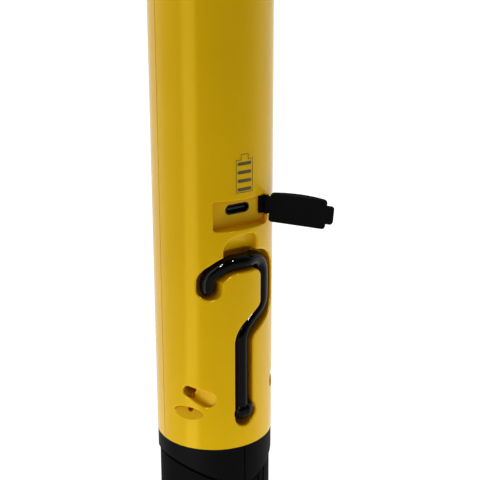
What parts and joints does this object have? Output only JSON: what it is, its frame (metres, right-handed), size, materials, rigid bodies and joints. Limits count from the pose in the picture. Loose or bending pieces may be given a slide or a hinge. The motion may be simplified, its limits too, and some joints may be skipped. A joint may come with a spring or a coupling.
{
  "type": "pinpointer probe",
  "caption": "Hand-held pinpointer metal probe with a tapered sensing tip, fold-out belt hook, covered charging port, charge gauge windows and rubber rear boot.",
  "frame": {"origin": "centre of the foot of the rear boot, on the barrel's axis", "axes": "+Z along the barrel towards the probe tip, -Y out of the hook and charging-port side, +Y out of the button side"},
  "size_m": [0.0465, 0.0538, 0.27],
  "materials": {
    "yellow_shell": "satin moulded ABS",
    "black_cap": "fine-textured black nylon",
    "black_rubber": "matte moulded rubber",
    "gloss_black": "polished black nylon",
    "black_metal": "dark nickel",
    "smoked_window": "smoked clear plastic",
    "clear_lens": "polished clear plastic",
    "steel": "zinc-plated",
    "circuit_board": "green solder mask",
    "chip_black": "moulded epoxy",
    "cell_wrap": "shrink-wrapped",
    "white_plastic": "natural nylon",
    "probe_black": "fine-textured glass-filled nylon",
    "copper_wire": "enamelled copper",
    "ferrite": "sintered",
    "motor_steel": "nickel-plated"
  },
  "bodies": {
    "root": {"hook_side_shell": "yellow_shell", "button_side_shell": "yellow_shell", "rear_cap": "black_cap", "rear_boot": "black_rubber", "rear_seal_ring": "black_rubber", "rear_cap_screws": "steel", "buzzer": "chip_black", "shell_screws": "steel", "hook_pivot_pin": "steel", "port_cover_anchor": "black_rubber", "usb_receptacle": "black_metal", "usb_tongue": "chip_black", "gauge_light_pipe": "smoked_window", "gauge_leds": "clear_lens", "charge_board": "circuit_board", "charge_board_chips": "chip_black", "charge_board_screws": "steel", "battery_cell": "cell_wrap", "battery_cradle": "white_plastic", "battery_contacts": "steel", "main_board": "circuit_board", "main_board_screws": "steel", "detector_chip": "chip_black", "button_switch": "chip_black", "vibration_motor": "motor_steel", "motor_saddle": "white_plastic", "torch_led": "clear_lens", "torch_lens": "clear_lens", "probe_tube": "probe_black", "probe_seal_ring": "black_rubber", "scuff_cap": "black_rubber", "coil_bobbin": "white_plastic", "ferrite_rod": "ferrite", "transmit_winding": "copper_wire", "receive_winding": "copper_wire"},
    "hook": {"belt_hook": "gloss_black"},
    "cover": {"port_cover": "black_rubber"},
    "button": {"power_button": "black_rubber", "switch_plunger": "white_plastic"},
    "weight": {"vibration_weight": "steel"}
  },
  "joints": [
    {"name": "hook_fold", "type": "hinge", "parent": "root", "child": "hook", "pos_m": [0, -0.017, 0.0466], "axis": [1, 0, 0], "range_deg": [0, 115]},
    {"name": "cover_hinge", "type": "hinge", "parent": "root", "child": "cover", "pos_m": [0.01035, -0.017, 0.1178], "axis": [0.0392, -0.0162, 0.9991], "range_deg": [-132, 20]},
    {"name": "button_press", "type": "slide", "parent": "root", "child": "button", "axis": [0, -1, 0], "range_m": [0, 0.0008], "stiffness_N_per_m": 2000, "springref_m": -0.0002},
    {"name": "motor_spin", "type": "hinge", "parent": "root", "child": "weight", "pos_m": [0.0044, 0.0018, 0.155], "axis": [0, 0, 1], "continuous": true}
  ]
}
